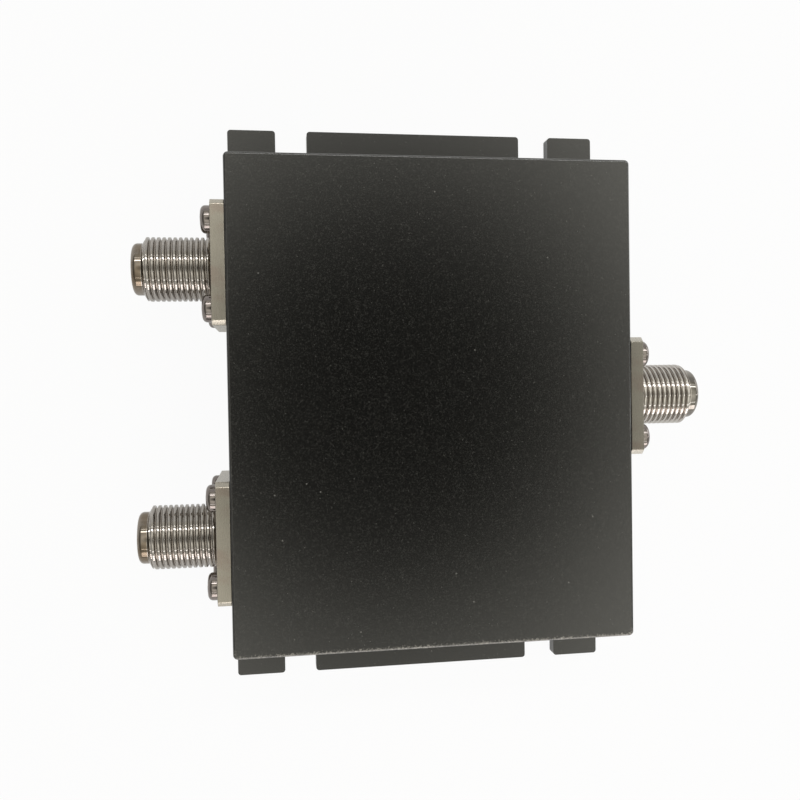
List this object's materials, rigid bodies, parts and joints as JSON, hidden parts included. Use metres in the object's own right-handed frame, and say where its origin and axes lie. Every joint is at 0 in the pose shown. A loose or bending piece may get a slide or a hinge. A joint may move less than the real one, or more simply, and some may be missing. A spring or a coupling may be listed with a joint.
{
  "type": "coaxial splitter",
  "caption": "Flat black metal box that splits one coaxial signal in two, with threaded jacks on opposite sides and slotted mounting ears along the other two.",
  "frame": {"origin": "centre of the mounting plane, on the underside midway between the ears and midway between the two jack walls", "axes": "+X towards the single input jack, +Y along the jack walls towards the first output jack, +Z from the mounting plane to the plain top face"},
  "size_m": [0.0874, 0.087, 0.018],
  "materials": {
    "black_paint": "matt fine-grained black paint on aluminium",
    "black_paint_cover": "matt black paint on aluminium sheet",
    "nickel_plate": "warm grey nickel plate on brass, satin",
    "nickel_screw": "bright nickel plate on steel",
    "dark_screw": "black zinc, satin",
    "white_plastic": "matt",
    "contact_metal": "bright gold flash",
    "board_laminate": "bare glass-fibre laminate",
    "copper": "bare rolled copper",
    "chip_ceramic": "glazed",
    "solder_tin": "bright solder"
  },
  "bodies": {
    "root": {"housing": "black_paint", "bottom_cover": "black_paint_cover", "cover_screws": "dark_screw", "circuit_board": "board_laminate", "ground_plane": "copper", "microstrip_lines": "copper", "resistor_chips": "chip_ceramic", "resistor_caps": "solder_tin", "solder_joints": "solder_tin", "board_screws": "nickel_screw", "jack_body_input": "nickel_plate", "front_insulator_input": "white_plastic", "rear_insulator_input": "white_plastic", "centre_contact_input": "contact_metal", "flange_screws_input": "nickel_screw", "jack_body_output_1": "nickel_plate", "front_insulator_output_1": "white_plastic", "rear_insulator_output_1": "white_plastic", "centre_contact_output_1": "contact_metal", "flange_screws_output_1": "nickel_screw", "jack_body_output_2": "nickel_plate", "front_insulator_output_2": "white_plastic", "rear_insulator_output_2": "white_plastic", "centre_contact_output_2": "contact_metal", "flange_screws_output_2": "nickel_screw"}
  },
  "joints": []
}
